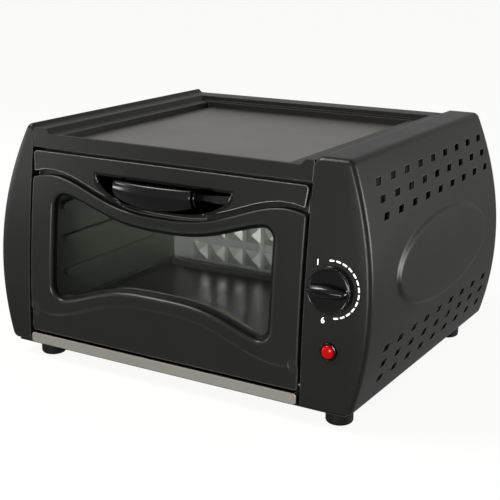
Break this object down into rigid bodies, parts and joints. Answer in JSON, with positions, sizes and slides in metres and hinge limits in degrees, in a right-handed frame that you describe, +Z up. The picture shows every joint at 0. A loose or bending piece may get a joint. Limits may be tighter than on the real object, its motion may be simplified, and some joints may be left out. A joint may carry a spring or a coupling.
{
  "type": "electric tandoor",
  "caption": "Countertop electric oven with a recessed hot plate on top, a drop-down window door, a control knob and a pull-out crumb tray.",
  "frame": {"origin": "under the middle of the whole body, on the plane of the feet's soles", "axes": "+X to the right seen from the front, +Y from the door to the back, +Z up"},
  "size_m": [0.4012, 0.324, 0.2265],
  "materials": {
    "black_sheet": "satin black powder coat",
    "foot_rubber": "matt",
    "zinc_steel": "zinc plated",
    "black_paint": "satin black paint",
    "liner_metal": "dark olive grey heat-proof coat",
    "back_wall_metal": "aluminised, satin",
    "plate_steel": "brushed",
    "heater_steel": "heat-tinted",
    "white_ceramic": "unglazed",
    "tray_enamel": "dark enamel",
    "gloss_black": "gloss",
    "red_lens": "gloss",
    "white_plastic": "matt",
    "black_plastic": "matt",
    "wire_rubber": "matt silicone",
    "black_screw": "black",
    "black_moulding": "satin",
    "door_glass": "clear",
    "tray_metal": "satin",
    "strip_steel": "brushed"
  },
  "bodies": {
    "body": {"base_pan": "black_sheet", "rear_panel": "black_sheet", "front_left_foot": "foot_rubber", "front_right_foot": "foot_rubber", "rear_left_foot": "foot_rubber", "rear_right_foot": "foot_rubber", "foot_screws": "zinc_steel", "heat_shield": "zinc_steel", "heater_rests": "zinc_steel", "left_hinge_bracket": "zinc_steel", "right_hinge_bracket": "zinc_steel", "left_hinge_pin": "zinc_steel", "right_hinge_pin": "zinc_steel", "thermostat": "zinc_steel", "door_magnets": "zinc_steel", "left_side_cover": "black_paint", "right_side_cover": "black_paint", "top_frame": "black_paint", "front_frame": "liner_metal", "cavity_left_wall": "liner_metal", "cavity_right_wall": "liner_metal", "cavity_rear_wall": "back_wall_metal", "hot_plate": "plate_steel", "upper_heater": "heater_steel", "lower_heater": "heater_steel", "heater_bushes": "white_ceramic", "baking_tray": "tray_enamel", "pilot_lamp_bezel": "gloss_black", "pilot_lamp_lens": "red_lens", "pilot_lamp_holder": "white_plastic", "terminal_block": "white_plastic", "cord_gland": "black_plastic", "mains_wires": "wire_rubber", "top_frame_screws": "black_screw", "rear_panel_screws": "black_screw"},
    "door": {"door_window_panel": "black_moulding", "door_fascia": "black_moulding", "door_handle": "gloss_black", "handle_cup": "gloss_black", "door_backing": "black_moulding", "door_inner_plate": "liner_metal", "door_glass": "door_glass", "left_hinge_lug": "zinc_steel", "right_hinge_lug": "zinc_steel", "door_screws": "zinc_steel"},
    "knob": {"control_knob": "gloss_black", "thermostat_shaft": "zinc_steel"},
    "crumb_drawer": {"crumb_tray": "tray_metal", "tray_front_strip": "strip_steel"}
  },
  "joints": [
    {"name": "door_hinge", "type": "hinge", "parent": "body", "child": "door", "pos_m": [-0.0121, -0.1412, 0.0315], "axis": [1, 0, 0], "range_deg": [0, 90]},
    {"name": "knob_turn", "type": "hinge", "parent": "body", "child": "knob", "pos_m": [0.1631, -0.14159, 0.121], "axis": [0, -0.9951, 0.0994], "range_deg": [-90, 90]},
    {"name": "tray_slide", "type": "slide", "parent": "body", "child": "crumb_drawer", "axis": [0, -1, 0], "range_m": [0, 0.18]}
  ]
}
